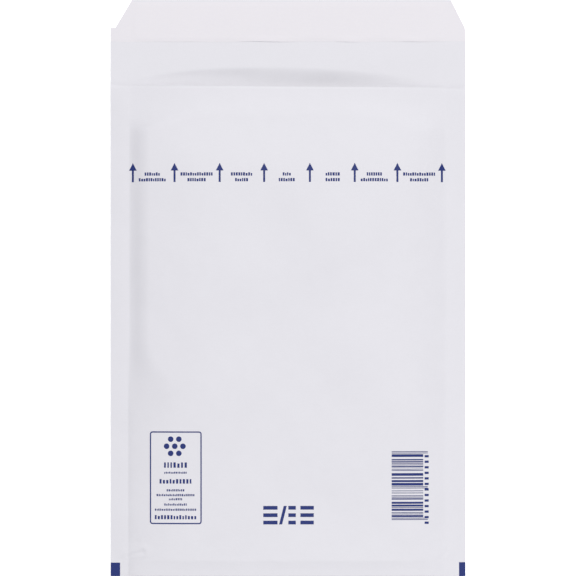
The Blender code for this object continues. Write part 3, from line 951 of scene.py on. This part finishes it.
def dots(centre_x, centre_y, radius, steps=9):
    """Discs: a square grid where x shrinks as sqrt(1 - y^2/2) and y as sqrt(1 - x^2/2)."""
    u, v = np.meshgrid(np.linspace(-1, 1, steps), np.linspace(-1, 1, steps))
    x = np.asarray(centre_x)[:, None, None] + radius * u * np.sqrt(1 - v * v / 2)
    y = np.asarray(centre_y)[:, None, None] + radius * v * np.sqrt(1 - u * u / 2)
    return lay_ink(x, y)


print("ink lies", INK_LIFT / MM, "mm above the paper")

# %% [markdown]
# The arrows stand in one row. Between them run two rows of short plain dashes of uneven
# length. A seeded generator gives the lengths, and they are scaled to fill their row.

# %% Arrows and the dashes between them
ARROW_X = from_left(np.array([12.6, 36.2, 61.6, 86.6, 112.3, 137.5, 161.5, 186.7]))
ARROW_TIP = Y_MOUTH - 43.2 * MM
ARROW_LENGTH = 10.7 * MM

# Steps along an arrow and half its width at each of them: a shaft, then a head.
along = np.array([0, 1.3, 2.6, 3.9, 5.2, 6.45, 6.5, 7.4, 8.4, 9.5, 10.7]) * MM
half_width = np.array([0.56] * 6 + [2.15, 1.7, 1.15, 0.6, 0.04]) * MM
side = np.linspace(-1, 1, 5)
arrow_x = ARROW_X[:, None, None] + half_width[:, None] * side
arrow_y = np.broadcast_to((ARROW_TIP - ARROW_LENGTH + along)[:, None], arrow_x.shape)
arrow_row = make_piece("arrow_row", *lay_ink(arrow_x, arrow_y), INK, "blue_ink")
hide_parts(*[f"printed_arrow_{number}" for number in range(1, 9)])


def dash_row(centre, baseline, width, height, seed, weight=0.5, space=0.3):
    """Dashes that fill a row; weight and space are a dash and a gap against the height."""
    rng = np.random.default_rng(seed)
    dash, gap = weight * height, space * height
    count = max(2, round((width + gap) / (dash + gap)))
    widths = dash * rng.uniform(0.75, 1.2, count)
    widths = widths * (width - gap * (count - 1)) / widths.sum()
    left = centre - width / 2 + np.concatenate([[0], np.cumsum(widths + gap)[:-1]])
    rise = height * np.where(rng.random(count) < 0.3, 0.8, 1.0)
    return bars(left, baseline, widths, rise)


CAPTION_X = from_left(np.array([23.6, 48.6, 73.9, 99.3, 125.1, 148.5, 173.8]))
UPPER_WIDTH = np.array([8.5, 18, 11.9, 4.5, 7.9, 8.5, 18]) * MM
LOWER_WIDTH = np.array([15.2, 10.2, 7.2, 9, 7.9, 15.2, 10.2]) * MM
DASH_HEIGHT = 1.8 * MM
captions = [dash_row(x, Y_MOUTH - down, width, DASH_HEIGHT, seed + n, space=0.22)
            for down, widths, seed in ((50.3 * MM, UPPER_WIDTH, 40), (53.5 * MM, LOWER_WIDTH, 50))
            for n, (x, width) in enumerate(zip(CAPTION_X, widths))]
make_piece("caption_dashes", *join(*captions), INK, "blue_ink")

# %% [markdown]
# The label has a frame with round corners. In it stand a figure of seven dots, packed like
# the bubbles of the lining, and rows of dashes of several sizes.

# %% Label frame and its contents
def ring(left, bottom, width, height, corner, line, steps=3, spacing=1.5 * MM):
    """Strip along a rounded rectangle: each point of the outline moves inwards by the line."""
    arc = np.linspace(0, np.pi / 2, 6)
    low_x, high_x = left + corner, left + width - corner
    low_y, high_y = bottom + corner, bottom + height - corner
    centres = np.array([(low_x, low_y), (high_x, low_y), (high_x, high_y), (low_x, high_y)])
    outline, outward = [], []
    for number, centre in enumerate(centres):
        turn = np.pi * (1 + number / 2) + arc
        way = np.column_stack([np.cos(turn), np.sin(turn)])
        run = centres[(number + 1) % 4] - centre
        more = np.linspace(0, 1, max(2, int(np.hypot(*run) / spacing)), endpoint=False)[1:, None]
        outline += [centre + corner * way, centre + corner * way[-1] + run * more]
        outward += [way, np.tile(way[-1], (len(more), 1))]
    inset = np.linspace(0, line, steps)[:, None, None]
    return np.moveaxis(np.concatenate(outline) - np.concatenate(outward) * inset, -1, 0)


def lay_ring(x, y):
    """Closed solid of ink from a strip that runs round, so its last column joins its first."""
    top = np.stack([x, y, panel_top(x, y) + INK_LIFT], axis=-1)
    low = top - np.array([0, 0, INK_THICKNESS])
    front = np.arange(x.size).reshape(x.shape)
    front = np.column_stack([front, front[:, 0]])
    back = front + x.size
    walls = np.array([[back[0], front[0]], [front[-1], back[-1]]])
    faces = np.concatenate([grid_faces(front), grid_faces(back[:, ::-1]), grid_faces(walls)])
    return np.concatenate([top.reshape(-1, 3), low.reshape(-1, 3)]), faces


FRAME_PLACE = (from_left(22.25), from_bottom(29.65))
FRAME_SIZE = (29.2 * MM, 52.2 * MM)
FRAME_CORNER = 1.5 * MM
FRAME_LINE = 0.7 * MM
frame_strip = ring(*FRAME_PLACE, *FRAME_SIZE, FRAME_CORNER, FRAME_LINE)
label_frame = make_piece("label_frame", *lay_ring(*frame_strip), INK, "blue_ink")
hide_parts("printed_label_frame")

LABEL_X = from_left(36.7)
DOT_PLACE = (from_left(36.3), from_bottom(73.5))
DOT_PITCH = 4.6 * MM
DOT_RADIUS = 1.57 * MM
sixth = np.arange(6) * np.pi / 3
figure = dots(DOT_PLACE[0] + DOT_PITCH * np.append(0, np.cos(sixth)),
              DOT_PLACE[1] + DOT_PITCH * np.append(0, np.sin(sixth)), DOT_RADIUS)

# Rows of dashes: place over the bottom, width and height in mm, and weight of a dash.
LABEL_ROWS = ((61.4, 12.8, 3.0, 0.36), (58.1, 12.6, 1.05, 0.6), (52.5, 17.9, 2.5, 0.45),
              (48.1, 9.9, 1.2, 0.55), (45.4, 21.3, 1.2, 0.55), (43.1, 7.4, 1.2, 0.55),
              (40.1, 12.6, 1.2, 0.55), (37.2, 23.2, 1.2, 0.55), (32.4, 23.3, 2.3, 0.45))
lines = [dash_row(LABEL_X, from_bottom(up), width * MM, height * MM, 60 + n, weight)
         for n, (up, width, height, weight) in enumerate(LABEL_ROWS)]
make_piece("label_figure", *join(figure, *lines), INK, "blue_ink")

# %% [markdown]
# Three plain blocks of three bars each stand in a row, with a slanted bar after the first of
# them. To their right is a field of bars whose widths come from a seeded generator, with a
# row of small blocks along its side. The web marks sit at the corners of the bottom margin,
# where the machine that cuts and folds the web reads them.

# %% Blocks and slanted bar
BLOCK_LEFT = -13.9 * MM
BLOCK_BOTTOM = from_bottom(29.55)
BLOCK_HEIGHT = 10.4 * MM
BLOCK_GAP = 0.9 * MM
BAND_HEIGHT = 2.1 * MM
BLOCK_WIDTHS = np.array([8.0, 4.2, 7.5]) * MM
SLANT_LEAN = 2.6 * MM
SLANT_WIDTH = 1.7 * MM
LAST_GAP = 2.6 * MM
slant_left = BLOCK_LEFT + BLOCK_WIDTHS[0] + BLOCK_GAP
thin_left = slant_left + SLANT_LEAN + SLANT_WIDTH + BLOCK_GAP
last_left = thin_left + BLOCK_WIDTHS[1] + LAST_GAP
v = np.linspace(0, 1, 9)[:, None]
slant_x = slant_left + SLANT_LEAN * v + SLANT_WIDTH * np.linspace(0, 1, 3)
slant_y = BLOCK_BOTTOM + BLOCK_HEIGHT * np.broadcast_to(v, slant_x.shape)
block_left = np.repeat([BLOCK_LEFT, thin_left, last_left], 3)
band_bottom = BLOCK_BOTTOM + np.tile([0, 0.5, 1], 3) * (BLOCK_HEIGHT - BAND_HEIGHT)
block_parts = bars(block_left, band_bottom, np.repeat(BLOCK_WIDTHS, 3), BAND_HEIGHT, 8, 4)
block_row = make_piece("block_row", *join(block_parts, lay_ink(slant_x, slant_y)), INK, "blue_ink")
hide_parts("printed_block_1", "printed_block_2", "printed_block_3", "printed_slanted_bar")

# %% Field of bars and web marks
BAR_LEFT = from_left(158.3)
BAR_BOTTOM = from_bottom(32.05)
BAR_COUNT = 30
BAR_LENGTHS = np.array([17.8, 20.4]) * MM
FIELD_LENGTH = 38.6 * MM
INK_SHARE = 0.955
SMALL_LEFT = BAR_LEFT + 18.6 * MM
SMALL_BOTTOM = from_bottom(29.75)
SMALL_PITCH = 3.12 * MM
SMALL_SIZE = (2.3 * MM, 1.28 * MM)
WIDTHS = [1.0, 2.0, 3.0, 4.0]
longer = np.isin(np.arange(BAR_COUNT), (0, 1, 14, 15, 28, 29))
pattern = np.random.default_rng(7)
bar_width = np.where(longer, 1.0, pattern.choice(WIDTHS, BAR_COUNT, p=[0.45, 0.3, 0.15, 0.1]))
bar_gap = np.where(longer, 1.0, pattern.choice(WIDTHS, BAR_COUNT, p=[0.4, 0.3, 0.2, 0.1]))
unit = FIELD_LENGTH / (bar_width.sum() + bar_gap[:-1].sum())
bar_start = unit * np.concatenate([[0], np.cumsum(bar_width + bar_gap)[:-1]])
bar_length = BAR_LENGTHS[longer.astype(int)]
bar_parts = bars(BAR_LEFT, BAR_BOTTOM + bar_start, bar_length, INK_SHARE * unit * bar_width, 14, 2)
small_blocks = bars(SMALL_LEFT, SMALL_BOTTOM + np.arange(13) * SMALL_PITCH, *SMALL_SIZE, 3, 2)
bar_field = make_piece("bar_field", *join(bar_parts, small_blocks), INK, "blue_ink")
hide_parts("printed_bar_field")

# Web marks: left edge, width and height. Their rows are closer at the fold.
MARKS = ((-X_EDGE + 0.08 * MM, 5.29 * MM, 7.72 * MM), (X_EDGE - 3.62 * MM, 3.6 * MM, 8.0 * MM))
MARK_BOTTOM = from_bottom(0.02)
u, v = spaced(0, (1, 5)), spaced(0, (0.05, 7), (1, 5))
marks = [lay_ink(*np.meshgrid(left + width * u, MARK_BOTTOM + height * v))
         for left, width, height in MARKS]
web_marks = make_piece("web_marks", *join(*marks), INK, "blue_ink")
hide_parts("printed_web_mark_left", "printed_web_mark_right")

# %% [markdown]
# ## Camera, floor and light
#
# The photograph looks straight down from far away, so the camera has a long lens and stands
# three metres up. The floor is white, and a little light of its own that only the camera
# sees makes it as white as a page, while the object's shadow stays. A wide lamp from the
# upper right and an even, slightly blue sky light the paper. A small lamp near the lower
# right stands for a white card that throws light back onto the bottom of the envelope.

# %% Camera
CAMERA_HEIGHT = 3.0

# Length that fills the picture, and the height over the floor where it does.
VIEW_LENGTH = 324.6 * MM
VIEW_LEVEL = 3 * MM
camera_data = bpy.data.cameras.new("camera")
camera_data.angle = 2 * math.atan(VIEW_LENGTH / 2 / (CAMERA_HEIGHT - VIEW_LEVEL))
camera = bpy.data.objects.new("camera", camera_data)
camera.location = (0, (Y_TIP + Y_BOTTOM) / 2, CAMERA_HEIGHT)
bpy.context.scene.collection.objects.link(camera)
bpy.context.scene.camera = camera
print("lens, mm:", round(camera_data.lens, 1))

# %% Floor
FLOOR_SIZE = 2.0
FLOOR_DROP = 0.02 * MM
FLOOR_GLOW = 0.6
corners = np.array([(-1, -1), (1, -1), (1, 1), (-1, 1)]) * FLOOR_SIZE
floor_mesh = bpy.data.meshes.new("floor")
floor_mesh.from_pydata([(x, y, -FLOOR_DROP) for x, y in corners.tolist()], [], [(0, 1, 2, 3)])
floor = bpy.data.objects.new("floor", floor_mesh)
bpy.context.scene.collection.objects.link(floor)


def seen_directly(tree):
    """1 for rays from the camera and through gloss or glass, 0 for rays that light the object."""
    path = tree.nodes.new("ShaderNodeLightPath")
    seen = math_node(tree, "MAXIMUM", path.outputs["Is Camera Ray"], path.outputs["Is Glossy Ray"])
    return math_node(tree, "MAXIMUM", seen, path.outputs["Is Transmission Ray"])


floor_material, floor_tree, floor_shader, _ = new_material("white_floor", 0.9, linear(243, 243, 243))
floor_shader.inputs["Specular IOR Level"].default_value = 0.0
floor_shader.inputs["Emission Color"].default_value = (1, 1, 1, 1)
glow = math_node(floor_tree, "MULTIPLY", seen_directly(floor_tree), FLOOR_GLOW)
link(floor_tree, glow, floor_shader.inputs["Emission Strength"])
floor_mesh.materials.append(floor_material)
print("floor ready")

# %% Light
SKY_SHARE = 0.27
SKY_COLOUR = (0.97, 0.99, 1.07, 1.0)
WINDOW_SHARE = 0.675
WINDOW_COLOUR = (1.01, 1.0, 0.975)
WINDOW_WAY = (0.11, 0.33, 1.0)
WINDOW_DISTANCE = 6.0
WINDOW_SIZE = 2.6
CARD_SHARE = 0.055
CARD_PLACE = (0.25, -0.45, 0.6)
CARD_SIZE = 0.5

world = bpy.data.worlds.new("sky")
bpy.context.scene.world = world
world.use_nodes = True
sky = world.node_tree
background = sky.nodes["Background"]
direct = seen_directly(sky)
link(sky, blend_colours(sky, direct, SKY_COLOUR, (1, 1, 1, 1)), background.inputs["Color"])
link(sky, remap(sky, direct, 0, 1, SKY_SHARE, 1.0), background.inputs["Strength"])


def add_lamp(name, place, size, share, colour):
    """Square lamp that looks at the origin; its power lights a level sheet there by the share."""
    data = bpy.data.lights.new(name, "AREA")
    data.shape = "SQUARE"
    data.size = size
    data.color = colour
    lamp = bpy.data.objects.new(name, data)
    lamp.location = place
    lamp.rotation_euler = lamp.location.to_track_quat("Z", "Y").to_euler()
    lamp.visible_camera = False
    distance = lamp.location.length
    data.energy = share * math.pi**2 * distance**2 * distance / lamp.location.z
    bpy.context.scene.collection.objects.link(lamp)
    print(name, "has", round(data.energy, 2), "W")


window_place = WINDOW_DISTANCE * np.array(WINDOW_WAY) / np.linalg.norm(WINDOW_WAY)
add_lamp("window", window_place.tolist(), WINDOW_SIZE, WINDOW_SHARE, WINDOW_COLOUR)
add_lamp("card", CARD_PLACE, CARD_SIZE, CARD_SHARE, (1.0, 1.0, 1.0))
bpy.context.scene.view_settings.view_transform = "Standard"
